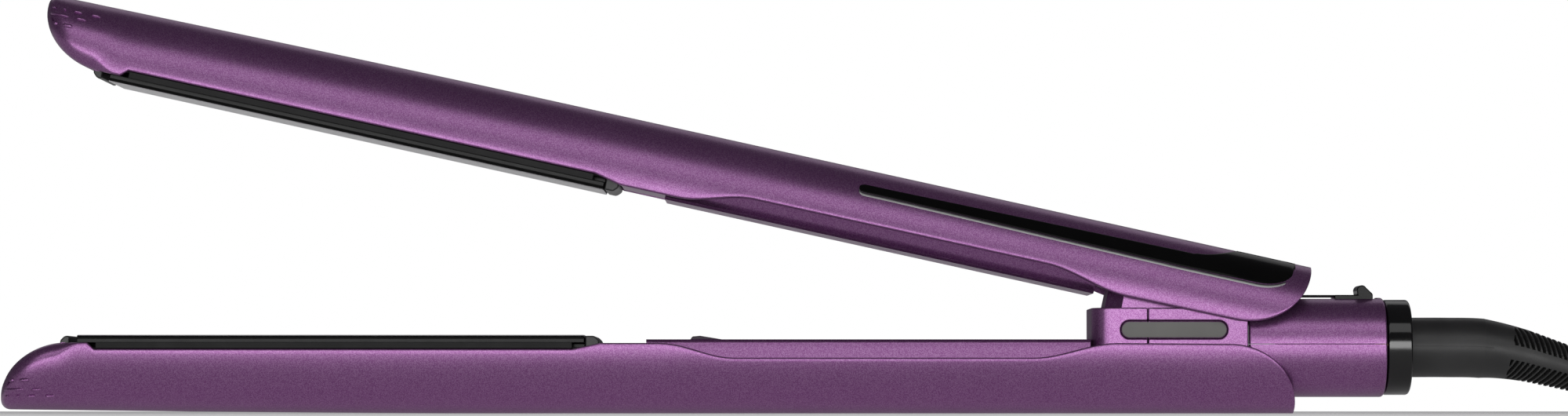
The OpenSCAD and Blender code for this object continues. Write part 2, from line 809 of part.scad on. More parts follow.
// Route from the hank's upper layer to the plug, which lies on the hank
tail_route = [
    [331, 18, 15.9], [325, 17.6, 17.5], [318, 15.8, 20.5], [311, 12.8, 23.6], [304, 10.2, 25.4],
    [297, 9, 25.9]
];

module cord_lead() {
    color(cord_black) tube(smooth(lead_route, 4), cord_d / 2, 10);
}

module cord_tail() {
    color(cord_black) tube(smooth(tail_route, 4), cord_d / 2, 10);
}

tie_t = 0.8;
fold_x = 263;
fold_r = 24;
pinch = 6;
hank_bottom = tie_t + 0.1;
hank_h = 3 * cord_d;

// Half of the hank's width at x: round folds, and runs drawn in towards the tie
function hank_half(x) =
    let (r = fold_r + cord_d / 2, far = fold_x + hank_run)
    x < fold_x ? sqrt(max(0, r * r - pow(x - fold_x, 2)))
    : x > far ? sqrt(max(0, r * r - pow(x - far, 2)))
    : r - pinch * (1 - cos(360 * (x - fold_x) / hank_run));

hank_xs = concat(
    [for (a = [0:15:75]) fold_x - (fold_r + cord_d / 2) * cos(a)],
    [for (i = [0:16]) fold_x + hank_run * i / 16],
    [for (a = [75:-15:0]) fold_x + hank_run + (fold_r + cord_d / 2) * cos(a)]
);

module cord_hank() {
    color(cord_black) translate([0, 0, hank_bottom]) linear_extrude(hank_h) polygon(concat(
        [for (x = hank_xs) [x, -hank_half(x)]],
        [for (i = [len(hank_xs) - 2:-1:1]) [hank_xs[i], hank_half(hank_xs[i])]]));
}

module cord_tie() {
    mid = fold_x + hank_run / 2;
    half = hank_half(mid + 4) + 0.1;
    top = hank_bottom + hank_h + 0.1;
    color(gloss_black) difference() {
        box([mid - 4, mid + 4], [-half - tie_t, half + tie_t], [0, top + tie_t]);
        box([mid - 5, mid + 5], [-half, half], [tie_t, top]);
    }
}

plug_y = 9;
plug_z = 25.9;
plug_x = [241, 276];
plug_face_w = 35.3;

module plug_body() {
    h = 13.4;
    color(cord_black) {
        translate([0, 0, plug_z - h / 2]) linear_extrude(h) polygon([
            [plug_x[0], plug_y - plug_face_w / 2], [plug_x[0], plug_y + plug_face_w / 2],
            [plug_x[0] + 12, plug_y + plug_face_w / 2], [plug_x[1], plug_y + 8],
            [plug_x[1], plug_y - 8], [plug_x[0] + 12, plug_y - plug_face_w / 2]]);
        translate([plug_x[1] - 1, plug_y, plug_z]) rotate([0, 90, 0])
            cylinder(r1 = 5.6, r2 = cord_d / 2 + 0.6, h = 22);
    }
}

module plug_pins() {
    color(silver) for (s = [-1, 1])
        rod_x(plug_x[0] - 19, plug_x[0], plug_y + s * 9.3, plug_z, 2);
}

// ---------------------------------------------------------------- drawing

lower_outer_shell();
lower_inner_cover();
closing_stop();
lower_plate_carrier();
lower_front_cap();
lower_rear_cap();
lower_heater_plate();
lower_ptc_heater();
lower_heater_clip();
lower_plate_springs();
lower_leads();
lower_screws();
upper_outer_shell();
upper_inner_cover();
upper_plate_carrier();
upper_front_cap();
upper_rear_cap();
upper_heater_plate();
upper_ptc_heater();
upper_heater_clip();
upper_plate_springs();
upper_leads();
upper_screws();
thermistor();
thermal_fuse();
control_panel();
panel_rim();
power_button();
heat_up_button();
heat_down_button();
indicator_lens();
circuit_board();
tact_switches();
board_parts();
hinge_knuckle();
lock_catch();
hinge_pin();
hinge_bush();
hinge_bracket();
hinge_spring();
housing_front();
housing_rear();
housing_inlays();
barrel_upper();
barrel_lower();
lock_slider();
end_collar();
swivel_bush();
swivel_neck();
strain_relief();
cord_lead();
cord_hank();
cord_tie();
cord_tail();
plug_body();
plug_pins();
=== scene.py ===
"""Looks of a hair straightener that lies open on its lower arm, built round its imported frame.

Lengths are millimetres until piece() turns them into metres. Parts of the upper arm are
made as if for the lower arm, and UPPER then mirrors and opens them about the hinge.
"""
import json
import math

import bmesh
import bpy
from mathutils import Matrix, Vector

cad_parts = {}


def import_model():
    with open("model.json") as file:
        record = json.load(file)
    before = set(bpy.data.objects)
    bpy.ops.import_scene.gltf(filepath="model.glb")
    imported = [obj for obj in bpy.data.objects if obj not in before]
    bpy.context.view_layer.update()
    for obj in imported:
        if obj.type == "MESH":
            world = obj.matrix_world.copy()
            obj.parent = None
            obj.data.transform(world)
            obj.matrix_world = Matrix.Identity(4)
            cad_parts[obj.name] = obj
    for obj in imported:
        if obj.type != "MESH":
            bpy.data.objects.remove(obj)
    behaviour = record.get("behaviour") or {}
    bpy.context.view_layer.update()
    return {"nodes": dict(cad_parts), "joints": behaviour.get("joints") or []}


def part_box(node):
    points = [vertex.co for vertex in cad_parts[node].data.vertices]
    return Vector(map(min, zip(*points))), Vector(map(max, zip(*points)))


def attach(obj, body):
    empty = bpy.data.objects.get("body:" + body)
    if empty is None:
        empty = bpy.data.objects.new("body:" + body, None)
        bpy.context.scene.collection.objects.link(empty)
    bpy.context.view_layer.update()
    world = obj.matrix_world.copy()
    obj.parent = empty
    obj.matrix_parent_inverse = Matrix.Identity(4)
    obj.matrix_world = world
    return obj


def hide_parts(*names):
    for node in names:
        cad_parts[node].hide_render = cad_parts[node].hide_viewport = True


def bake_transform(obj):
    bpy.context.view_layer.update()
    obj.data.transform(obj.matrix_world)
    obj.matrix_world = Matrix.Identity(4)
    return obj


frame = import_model()


# ---------------------------------------------------------------- places from the frame

def node_box(node):
    return tuple(1000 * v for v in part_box(node))


JOINTS = {j["name"]: j for j in frame["joints"]}
HINGE_X, _, HINGE_Z = (1000 * v for v in JOINTS["arm_hinge"]["pos_m"])
OPEN = math.radians(JOINTS["arm_hinge"]["range_deg"][1])
NOSE_X = node_box("lower_outer_shell")[0].x
SHELL_END = node_box("lower_outer_shell")[1].x
ARM_W = 2 * node_box("lower_outer_shell")[1].y
PLATE_X0, PLATE_X1 = (v.x for v in node_box("lower_heater_plate"))
MID_Z = node_box("lower_heater_plate")[1].z + 0.1
COVER_X0 = PLATE_X1 + 13.5
HOUSING_X0 = node_box("housing_front")[0].x
REAR_ARC = HINGE_X - 5.5

# The shell: its wall, the lengths of its nose and tip, and how its belly rises to them.
WALL, NOSE_L, TIP_L = 1.8, 15.0, 2.4
BELLY_L, BELLY_RISE = 105, 0.9
# Heights of its rim, from the nose to the hinge, and its round rear end.
TIP_Z, HUMP_Z, PLATE_RIM_Z, HANDLE_RIM_Z, HINGE_RIM_Z = 3.0, 15.4, 14.0, 15.3, 15.1
REAR_Z, REAR_RISE = 1.2, 13.9
# Where the rim drops behind the nose, and where it rises behind the plate.
HUMP_END, PLATE_RIM_X0, PLATE_RIM_X1 = NOSE_X + 20.3, NOSE_X + 21.9, PLATE_X1 - 2.4
# The rim's dip beside the inner cover: depth, start behind the cover's front, and end.
DIP, DIP_FROM, DIP_TO = 3.2, 3, HINGE_X - 30
# Powers of the curves of its section, plan and nose, and what is cut off flat below.
SECTION, PLAN, NOSE_POWER, FOOT = 2.4, 2.8, 1.8, 0.3

ABOUT_HINGE = (
    Matrix.Translation((HINGE_X, 0, HINGE_Z))
    @ Matrix.Rotation(OPEN, 4, "Y")
    @ Matrix.Translation((-HINGE_X, 0, -HINGE_Z))
)
UPPER = (
    ABOUT_HINGE
    @ Matrix.Translation((0, 0, 2 * MID_Z))
    @ Matrix.Diagonal((1, 1, -1, 1))
)
LOWER = Matrix.Identity(4)


def new_object(name, data):
    obj = bpy.data.objects.new(name, data)
    bpy.context.scene.collection.objects.link(obj)
    return obj


# ---------------------------------------------------------------- camera

CAMERA_PLACE, CAMERA_AIM = (0.0174, -1.117, 0.0005), (0.0174, 0, 0.0452)
CAMERA_LENS, CAMERA_SENSOR = 116.4, 36.0


def make_camera():
    data = bpy.data.cameras.new("camera")
    data.lens, data.sensor_width = CAMERA_LENS, CAMERA_SENSOR
    data.clip_start, data.clip_end = 0.05, 20
    cam = new_object("camera", data)
    cam.location = CAMERA_PLACE
    aim = Vector(CAMERA_AIM) - cam.location
    cam.rotation_euler = aim.to_track_quat("-Z", "Y").to_euler()
    bpy.context.scene.camera = cam


make_camera()


# ---------------------------------------------------------------- materials

def shader(name):
    mat = bpy.data.materials.new(name)
    mat.use_nodes = True
    return mat, mat.node_tree, mat.node_tree.nodes["Principled BSDF"]


def set_up(bsdf, **values):
    for key, value in values.items():
        bsdf.inputs[key.replace("_", " ")].default_value = value


def coords(tree, scale=(1, 1, 1)):
    """Places on the piece itself, in metres, stretched by scale."""
    place = tree.nodes.new("ShaderNodeTexCoord")
    stretch = tree.nodes.new("ShaderNodeMapping")
    stretch.inputs["Scale"].default_value = scale
    tree.links.new(place.outputs["Object"], stretch.inputs["Vector"])
    return stretch.outputs["Vector"]


def texture(tree, kind, vector, scale, detail=2.0):
    node = tree.nodes.new(kind)
    node.inputs["Scale"].default_value = scale
    if "Detail" in node.inputs:
        node.inputs["Detail"].default_value = detail
    tree.links.new(vector, node.inputs["Vector"])
    return node


def ramp(tree, value, stops):
    node = tree.nodes.new("ShaderNodeValToRGB")
    while len(node.color_ramp.elements) < len(stops):
        node.color_ramp.elements.new(0.5)
    for element, (place, colour) in zip(node.color_ramp.elements, stops):
        element.position, element.color = place, (*colour, 1)
    tree.links.new(value, node.inputs["Fac"])
    return node.outputs["Color"]


def bump(tree, bsdf, height, strength, distance):
    node = tree.nodes.new("ShaderNodeBump")
    node.inputs["Strength"].default_value = strength
    node.inputs["Distance"].default_value = distance
    tree.links.new(height, node.inputs["Height"])
    tree.links.new(node.outputs["Normal"], bsdf.inputs["Normal"])


def grey(value):
    return (value, value, value)


def lacquer(name, dark, mid, flake):
    """Metallic lacquer: most grains are near one colour, and a few catch the light."""
    mat, tree, bsdf = shader(name)
    grains = texture(tree, "ShaderNodeTexVoronoi", coords(tree), 7000)
    colour = ramp(tree, grains.outputs["Color"], [
        (0.0, dark), (0.3, mid), (0.86, mid), (0.97, flake)])
    tree.links.new(colour, bsdf.inputs["Base Color"])
    soft = texture(tree, "ShaderNodeTexNoise", coords(tree), 60)
    rough = ramp(tree, soft.outputs["Fac"], [(0.3, grey(0.30)), (0.7, grey(0.35))])
    tree.links.new(rough, bsdf.inputs["Roughness"])
    peel = texture(tree, "ShaderNodeTexNoise", coords(tree), 2600)
    bump(tree, bsdf, peel.outputs["Fac"], 0.08, 0.00003)
    set_up(bsdf, Metallic=0.85, Specular_IOR_Level=0.35, Coat_Weight=0.10, Coat_Roughness=0.25)
    return mat


def plastic(name, colour, rough, grain=900, strength=0.12, speckle=0.12, coat=0.0,
            shine=0.5):
    """Moulded plastic or rubber with fine grain and slight changes of tone."""
    mat, tree, bsdf = shader(name)
    tone = texture(tree, "ShaderNodeTexNoise", coords(tree), 110, 4)
    low = tuple(c * (1 - speckle) for c in colour)
    high = tuple(min(1, c * (1 + speckle)) for c in colour)
    tree.links.new(ramp(tree, tone.outputs["Fac"], [(0.35, low), (0.65, high)]),
                   bsdf.inputs["Base Color"])
    worn = texture(tree, "ShaderNodeTexNoise", coords(tree), 240, 3)
    spread = 0.04 if rough > 0.2 else 0.015
    tree.links.new(ramp(tree, worn.outputs["Fac"], [
        (0.3, grey(rough - spread)), (0.7, grey(rough + spread))]),
        bsdf.inputs["Roughness"])
    fine = texture(tree, "ShaderNodeTexNoise", coords(tree), grain, 3)
    bump(tree, bsdf, fine.outputs["Fac"], strength, 0.00005)
    set_up(bsdf, Coat_Weight=coat, Coat_Roughness=0.05, Specular_IOR_Level=shine)
    return mat


def metal(name, colour, rough, brushed=(1, 1, 1)):
    """Metal with fine marks, drawn out along the axes where brushed is small."""
    mat, tree, bsdf = shader(name)
    marks = texture(tree, "ShaderNodeTexNoise", coords(tree, brushed), 1500, 3)
    low = tuple(0.88 * c for c in colour)
    tree.links.new(ramp(tree, marks.outputs["Fac"], [(0.35, low), (0.65, colour)]),
                   bsdf.inputs["Base Color"])
    tree.links.new(ramp(tree, marks.outputs["Fac"], [
        (0.3, grey(rough)), (0.7, grey(rough + 0.08))]), bsdf.inputs["Roughness"])
    bump(tree, bsdf, marks.outputs["Fac"], 0.1, 0.00002)
    set_up(bsdf, Metallic=1.0)
    return mat


def weave(name, colour):
    """Woven tape: two sets of crossing threads, darker where they dip, as painted shade in the
    hollows of the weave.
    """
    mat, tree, bsdf = shader(name)
    waves = []
    for axis in ("X", "Y"):
        node = texture(tree, "ShaderNodeTexWave", coords(tree), 520, 1)
        node.bands_direction = axis
        waves.append(node.outputs["Fac"])
    cross = tree.nodes.new("ShaderNodeMath")
    cross.operation = "MULTIPLY"
    tree.links.new(waves[0], cross.inputs[0])
    tree.links.new(waves[1], cross.inputs[1])
    # Painted shade: the tape's colour falls to half where the threads dip, following the same
    # height as its bump.
    tree.links.new(ramp(tree, cross.outputs["Value"], [
        (0.0, tuple(0.5 * c for c in colour)), (1.0, colour)]), bsdf.inputs["Base Color"])
    bump(tree, bsdf, cross.outputs["Value"], 0.5, 0.0002)
    set_up(bsdf, Roughness=0.85)
    return mat


PURPLE = lacquer("purple_lacquer",
                 (0.175, 0.062, 0.180), (0.215, 0.078, 0.222), (0.32, 0.16, 0.33))
GLOSS_BLACK = plastic("gloss_black", grey(0.004), 0.10, 500, 0.02)
DEEP_BLACK = plastic("deep_black", grey(0.003), 0.16, 500, 0.03, shine=0.10)
CARRIER = plastic("carrier_grey", grey(0.009), 0.5, 1400, 0.3, shine=0.2)
CAP = plastic("cap_grey", grey(0.024), 0.38, 1200, 0.2)
STOP = plastic("stop_rubber", (0.030, 0.016, 0.034), 0.5, 1500, 0.3)
INLAY = plastic("inlay_grey", (0.150, 0.150, 0.140), 0.62, 1700, 0.35, 0.05)
GUARD = plastic("guard_rubber", grey(0.020), 0.42, 1300, 0.35, 0.18)
CORD = plastic("cord_black", grey(0.014), 0.42, 900, 0.2)
PLUG = plastic("plug_black", grey(0.018), 0.45, 1300, 0.3)
KEY = plastic("key_black", grey(0.010), 0.22, 900, 0.08, coat=0.3)
LENS = plastic("lens_red", (0.45, 0.02, 0.015), 0.12, 400, 0.02, coat=0.7)
BOARD = plastic("board_green", (0.02, 0.12, 0.045), 0.4, 700, 0.1)
WIRE = plastic("wire_red", (0.35, 0.02, 0.015), 0.45)
HEATER = plastic("heater_white", (0.75, 0.72, 0.66), 0.6, 900, 0.2, 0.05)
BLACK_PART = plastic("component_black", grey(0.015), 0.4)
SILVER = metal("silver_line", grey(0.24), 0.34, (0.05, 1, 1))
SATIN = metal("satin_silver", grey(0.62), 0.32, (0.1, 1, 1))
PLATE = metal("plate_face", grey(0.90), 0.33, (0.04, 1, 1))
STEEL = metal("steel", (0.52, 0.53, 0.55), 0.32, (0.2, 1, 1))
BRASS = metal("brass", (0.66, 0.48, 0.20), 0.28, (1, 0.2, 1))
PIN_METAL = metal("pin_nickel", (0.70, 0.67, 0.60), 0.22, (0.1, 1, 1))
TAPE = weave("tie_tape", grey(0.03))


# ---------------------------------------------------------------- making pieces

def metre_mesh(name, verts, faces, where):
    mesh = bpy.data.meshes.new(name)
    mesh.from_pydata([tuple(0.001 * (where @ Vector(v))) for v in verts], [], faces)
    return mesh


def mark_sharp(mesh, degrees=32):
    """Shades smooth, with sharp edges where faces meet at a steep angle."""
    bm = bmesh.new()
    bm.from_mesh(mesh)
    bmesh.ops.remove_doubles(bm, verts=bm.verts, dist=1e-7)
    bmesh.ops.recalc_face_normals(bm, faces=bm.faces)
    for face in bm.faces:
        face.smooth = True
    for edge in bm.edges:
        if len(edge.link_faces) == 2:
            edge.smooth = edge.calc_face_angle(0) < math.radians(degrees)
    bm.to_mesh(mesh)
    bm.free()


def add(name, mesh, mat, slot, nodes):
    obj = new_object(name, mesh)
    mesh.materials.append(mat)
    if nodes:
        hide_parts(*nodes)
    return obj


def piece(name, verts, faces, mat, slot, body=None, nodes=(), where=LOWER, sharp=32):
    """A mesh of millimetre points, put where it belongs in metres, riding on body."""
    mesh = metre_mesh(name, verts, faces, where)
    mark_sharp(mesh, sharp)
    obj = add(name, mesh, mat, slot, nodes)
    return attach(obj, body) if body else obj


def edged_copy(name, node, mat, slot, body, width, segments=3, move=None):
    """A CAD node with its hard edges rounded, as moulded and pressed parts have them."""
    mesh = frame["nodes"][node].data.copy()
    mesh.materials.clear()
    if move:
        for vert in mesh.vertices:
            vert.co = move(vert.co)
    bm = bmesh.new()
    bm.from_mesh(mesh)
    bmesh.ops.remove_doubles(bm, verts=bm.verts, dist=2e-6)
    bmesh.ops.dissolve_limit(
        bm, angle_limit=math.radians(1.5), verts=bm.verts, edges=bm.edges)
    bm.to_mesh(mesh)
    bm.free()
    mark_sharp(mesh, 30)
    obj = add(name, mesh, mat, slot, [node])
    rounded = obj.modifiers.new("edges", "BEVEL")
    rounded.width, rounded.segments = 0.001 * width, segments
    rounded.limit_method, rounded.angle_limit = "ANGLE", math.radians(32)
    rounded.harden_normals = True
    rounded.use_clamp_overlap = True
    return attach(obj, body)


def grid_faces(rows, columns):
    """Faces between rings, each of which closes on itself."""
    return [
        (r * columns + c, r * columns + (c + 1) % columns,
         (r + 1) * columns + (c + 1) % columns, (r + 1) * columns + c)
        for r in range(rows - 1) for c in range(columns)
    ]


def loft(rings):
    """Points and faces of a closed solid through rings with equal numbers of points."""
    n = len(rings[0])
    faces = grid_faces(len(rings), n)
    faces += [tuple(range(n)), tuple(range(len(rings) * n - 1, (len(rings) - 1) * n - 1, -1))]
    return [p for ring in rings for p in ring], faces


def hoop(rings):
    """Points and faces of a solid whose last ring joins its first."""
    rings = rings + [rings[0]]
    return [p for ring in rings for p in ring], grid_faces(len(rings), len(rings[0]))


# ---------------------------------------------------------------- shapes of the shells

def clamp(v, low=0.0, high=1.0):
    return min(max(v, low), high)


def ease(u):
    u = clamp(u)
    return u * u * (3 - 2 * u)


def quarter(u, n):
    return (1 - (1 - clamp(u)) ** n) ** (1 / n)


def signed_pow(v, n):
    return math.copysign(abs(v) ** n, v)


def lookup(x, table):
    for (x0, y0), (x1, y1) in zip(table, table[1:]):
        if x <= x1:
            return y0 + (y1 - y0) * clamp((x - x0) / (x1 - x0))
    return table[-1][1]


def half_w(x):
    return ARM_W / 2 * quarter((x - NOSE_X) / NOSE_L, PLAN)


def bottom(x):
    rise = BELLY_RISE * clamp((NOSE_X + BELLY_L - x) / BELLY_L) ** 1.5
    return rise + (TIP_Z - BELLY_RISE) * (1 - quarter((x - NOSE_X) / TIP_L, 2))


def nose_top(x):
    return TIP_Z + (HUMP_Z - TIP_Z) * quarter((x - NOSE_X) / NOSE_L, NOSE_POWER)


def rim(x):
    """Height of the shell's open edge."""
    if x < NOSE_X + NOSE_L:
        return nose_top(x)
    if x < REAR_ARC:
        height = lookup(x, [
            (HUMP_END, HUMP_Z), (PLATE_RIM_X0, PLATE_RIM_Z),
            (PLATE_RIM_X1, PLATE_RIM_Z), (PLATE_X1 + 3.5, HANDLE_RIM_Z),
            (HOUSING_X0, HANDLE_RIM_Z), (REAR_ARC, HINGE_RIM_Z)])
        return height - DIP * ease((x - COVER_X0 - DIP_FROM) / 16) * ease((DIP_TO - x) / 18)
    across = (x - REAR_ARC) / (SHELL_END - REAR_ARC)
    return REAR_Z + REAR_RISE * math.sqrt(max(0.0, 1 - across * across))


def edge_radius(x):
    return min(0.45 * (nose_top(x) - bottom(x)), 3 - 2.6 * ease((x - NOSE_X - 13) / 6))


def crown(x):
    """Height at which the shell's side starts to curve in."""
    return (nose_top(x) if x < NOSE_X + NOSE_L else HUMP_Z) - edge_radius(x)


def surface(x, t, out=0.0):
    """The point of the section at x and angle t, from one side at 0 to the other at pi."""
    w, low, high = half_w(x) + out, bottom(x) - out, crown(x)
    z = high - (high - low + FOOT) * math.sin(t) ** (2 / SECTION)
    return (x, -w * signed_pow(math.cos(t), 2 / SECTION), max(low, z))


def angle_at_height(x, z):
    high = crown(x)
    return math.asin(clamp((high - z) / (high - bottom(x) + FOOT)) ** (SECTION / 2))


def angle_at_width(x, y):
    return math.acos(clamp(y / half_w(x)) ** (SECTION / 2))


# The shell is solid this far behind its front end, and hollow after that.
SOLID_NOSE = 13.99


def shell_ring(x, solid):
    """The wall's outline at x: outside, one rounded edge, inside and the other edge."""
    radius, top = edge_radius(x), rim(x)
    start = angle_at_height(x, min(top - radius, crown(x)))
    outer = [surface(x, start + (math.pi - 2 * start) * i / 72) for i in range(73)]
    side = outer[-1][1]
    corner = [(radius * (1 - math.cos(a)), top - radius + radius * math.sin(a))
              for a in (math.pi / 2 * i / 6 for i in range(1, 7))]
    right = [(x, side - inset, z) for inset, z in corner]
    inner_start = 0.0 if top > crown(x) else angle_at_height(x, top)
    inner = []
    for i in range(41):
        t = math.pi - inner_start - (math.pi - 2 * inner_start) * i / 40
        if solid:
            y, z = (side - radius) * (1 - i / 20), top
        else:
            _, y, z = surface(x, t, -WALL)
        inner.append((x, y, min(z, top)))
    if not solid:
        inner = [(x, inner[0][1], top)] + inner[1:-1] + [(x, inner[-1][1], top)]
    left = [(x, -y, z) for _, y, z in reversed(right)]
    return outer + right + inner + left


def shell_stations():
    """Places along the shell, closer together wherever its outline bends."""
    nose = [NOSE_X + 0.004 + NOSE_L * (1 - math.cos(math.pi / 2 * i / 44)) for i in range(45)]
    bends = [NOSE_X + v for v in (15.8, 16.6, 17.5, 18.5, 19.5)]
    bends += [HUMP_END + 0.16 * i for i in range(11)]
    bends += [PLATE_RIM_X1 + 0.59 * i for i in range(11)]
    plain = [NOSE_X + 26 + 6 * i for i in range(17)]
    dip = [COVER_X0 + DIP_FROM + 1.6 * i for i in range(11)]
    dip += [HINGE_X - 48 + 1.5 * i for i in range(13)]
    middle = [COVER_X0 + 24 + 6 * i for i in range(9)]
    rear = [REAR_ARC + (SHELL_END - REAR_ARC) * math.sin(math.pi / 2 * i / 36)
            for i in range(37)]
    ends = [NOSE_X + SOLID_NOSE - 0.01, COVER_X0, HOUSING_X0, HOUSING_X0 + 14]
    return sorted({round(v, 4) for v in nose + bends + plain + dip + middle + rear + ends})


def shell(name, node, body, where):
    rings = [shell_ring(x, x < NOSE_X + SOLID_NOSE) for x in shell_stations()]
    verts, faces = loft(rings)
    return piece(name, verts, faces, PURPLE, "shell", body, [node], where, 38)


# Each row's height on the nose, its dashes' width, and where they start and end.
MARK_ROWS = [(7.2, 0.9, [(2.4, 4.2), (5.5, 7.8)]),
             (5.2, 0.55, [(1.5, 6.4), (8.1, 10.4)]),
             (3.8, 0.4, [(2.0, 2.9), (4.7, 5.4), (7.1, 9.0), (11.0, 13.1)])]
# How far the dashes stand out, how far their rims sink in, and where their backs lie.
MARK_LIFT, MARK_SUNK, MARK_BACK = 0.42, 0.04, -0.5


def nose_marks(name, body, where):
    """Raised rounded dashes in staggered rows on both sides of the nose."""
    verts, faces = [], []
    for z0, height, spans in MARK_ROWS:
        for start, end in spans:
            for side in (-1, 1):
                rings = []
                for i in range(17):
                    u = i / 16
                    x = NOSE_X + start + (end - start) * u
                    front, back = [], []
                    for j in range(9):
                        v = j / 4 - 1
                        z = z0 + height / 2 * v * math.sqrt(max(0.05, 1 - (2 * u - 1) ** 6))
                        lift = MARK_LIFT * (1 - abs(v) ** 3) * (1 - abs(2 * u - 1) ** 5)
                        lift -= MARK_SUNK
                        t = angle_at_height(x, z)
                        _, y, level = surface(x, t, lift)
                        front.append((x - 0.5 * lift, side * abs(y), level))
                        _, y, level = surface(x, t, MARK_BACK)
                        back.append((x, side * abs(y), level))
                    rings.append(front + back[::-1])
                base = len(verts)
                points, sides = loft(rings)
                verts += points
                faces += [tuple(base + k for k in f) for f in sides]
    piece(name, verts, faces, PURPLE, "shell", body, (), where, 60)


def strip(stations, span, out, steps=10):
    """A thin raised skin on the shell between two angles of its section at each station."""
    rings = []
    for x in stations:
        t0, t1 = span(x)
        skin = [surface(x, t0 + (t1 - t0) * i / steps, out - (0.12 if i in (0, steps) else 0))
                for i in range(steps + 1)]
        back = [surface(x, t0 + (t1 - t0) * i / steps, -0.7) for i in range(steps, -1, -1)]
        rings.append(skin + back)
    return loft(rings)


# The panel's two prongs, and the round tongue of shell between them.
PANEL_X0, PANEL_X1 = HINGE_X - 91.5, HINGE_X + 5.5
PANEL_TIP, PANEL_BEND = PANEL_X0 + 6, HINGE_X - 20
TONGUE_R, TONGUE_END = 10.2, HINGE_X - 6.8


def blunt(x):
    """Grows from 0 at the panel's front tip to 1 as the tip rounds out."""
    return quarter((x - PANEL_X0) / 1.5, 2)


def panel_low(x):
    """Height of the panel's lower edge on the shell's side, rounded at its front end."""
    height = lookup(x, [(PANEL_TIP, 5.4), (PANEL_BEND, 6.3), (PANEL_X1, 6.3)])
    height -= 1.0 * (1 - blunt(x))
    end = clamp((x - PANEL_X1 + 8) / 8)
    return height - 5.0 * (1 - math.sqrt(1 - end * end))


def panel_high(x):
    """Height of its upper edge, ahead of the tongue's widest place."""
    height = lookup(x, [(PANEL_TIP, 3.5), (PANEL_BEND, 2.8), (PANEL_X1, 2.8)])
    return height + 0.85 * (1 - blunt(x))


def panel_span(x):
    """The panel's two edges at x, as angles of the shell's section."""
    low = angle_at_height(x, panel_low(x))
    centre = TONGUE_END - TONGUE_R
    if x <= centre:
        return low, angle_at_height(x, panel_high(x))
    reach = TONGUE_R ** 2 - (x - centre) ** 2
    return low, angle_at_width(x, math.sqrt(reach)) if reach > 0 else math.pi / 2


def both_sides(name, verts, faces, mat, slot, body, nodes, where):
    """A piece and its mirror image on the other side, as one."""
    n = len(verts)
    verts = verts + [(x, -y, z) for x, y, z in verts]
    piece(name, verts, faces + [tuple(n + k for k in reversed(f)) for f in faces], mat, slot,
          body, nodes, where, 40)


def control_panel():
    centre = TONGUE_END - TONGUE_R
    stations = [PANEL_X0 + 1.5 * (1 - math.cos(math.pi / 2 * i / 10)) for i in range(11)]
    stations += [PANEL_X0 + 2 + (centre - PANEL_X0 - 2) * i / 44 for i in range(45)]
    stations += [centre + TONGUE_R * math.sin(math.pi / 2 * i / 24) for i in range(1, 25)]
    stations += [TONGUE_END + 0.1 + (PANEL_X1 - TONGUE_END - 0.1) * i / 20 for i in range(21)]
    verts, faces = strip(stations, panel_span, 0.10, 16)
    both_sides("panel_gloss", verts, faces, DEEP_BLACK, "panel", "upper_arm",
               ["control_panel"], UPPER)

    def line_span(x):
        return tuple(angle_at_height(x, panel_low(x) + up) for up in (0.72, 0.02))

    verts, faces = strip([x for x in stations if x < PANEL_X1 - 1.5], line_span, 0.12, 4)
    both_sides("panel_silver_line", verts, faces, SILVER, "rim", "upper_arm",
               ["panel_rim"], UPPER)


def drill(obj, tools):
    """Cuts each tool out of obj, and removes the tools."""
    for tool in tools:
        cut = obj.modifiers.new("cut", "BOOLEAN")
        cut.operation, cut.solver, cut.object = "DIFFERENCE", "EXACT", tool
    bpy.context.view_layer.update()
    made = bpy.data.meshes.new_from_object(
        obj.evaluated_get(bpy.context.evaluated_depsgraph_get()))
    obj.modifiers.clear()
    obj.data = made
    for tool in tools:
        bpy.data.objects.remove(tool)
    mark_sharp(made, 38)


def tool_mesh(verts, faces, where=LOWER):
    mesh = metre_mesh("tool", verts, faces, where)
    bm = bmesh.new()
    bm.from_mesh(mesh)
    bmesh.ops.recalc_face_normals(bm, faces=bm.faces)
    bm.to_mesh(mesh)
    bm.free()
    return new_object("tool", mesh)


def box_tool(x, y, z):
    return tool_mesh(*loft([[(a, y[0], z[0]), (a, y[1], z[0]), (a, y[1], z[1]), (a, y[0], z[1])]
                            for a in x]))


def round_tool(x, radius, where):
    circle = [(radius * math.cos(math.tau * i / 64), radius * math.sin(math.tau * i / 64))
              for i in range(64)]
    return tool_mesh(*loft([[(x + a, b, z) for a, b in circle] for z in (-1.0, 3.5)]), where)


# ---------------------------------------------------------------- barrel and collar

def oval(w, h, n=128):
    return [(w / 2 * signed_pow(math.cos(math.tau * i / n), 0.8),
             h / 2 * signed_pow(math.sin(math.tau * i / n), 0.8)) for i in range(n)]


def turned_oval(x0, x1, w, h, edge, bore_w, bore_h):
    """A hollow oval length along X with rounded ends."""
    centre = HINGE_Z
    arcs = [math.pi / 2 * i / 6 for i in range(7)]
    outer = [(x0 + edge * (1 - math.sin(a)), edge * (1 - math.cos(a))) for a in reversed(arcs)]
    outer += [(x1 - edge * (1 - math.sin(a)), edge * (1 - math.cos(a))) for a in arcs]
    rings = [[(x, y, centre + z) for y, z in oval(w - 2 * d, h - 2 * d)] for x, d in
             [(x0, edge)] + outer + [(x1, edge)]]
    rings += [[(x, y, centre + z) for y, z in oval(bore_w, bore_h)] for x in (x1, x0)]
    return hoop(rings)


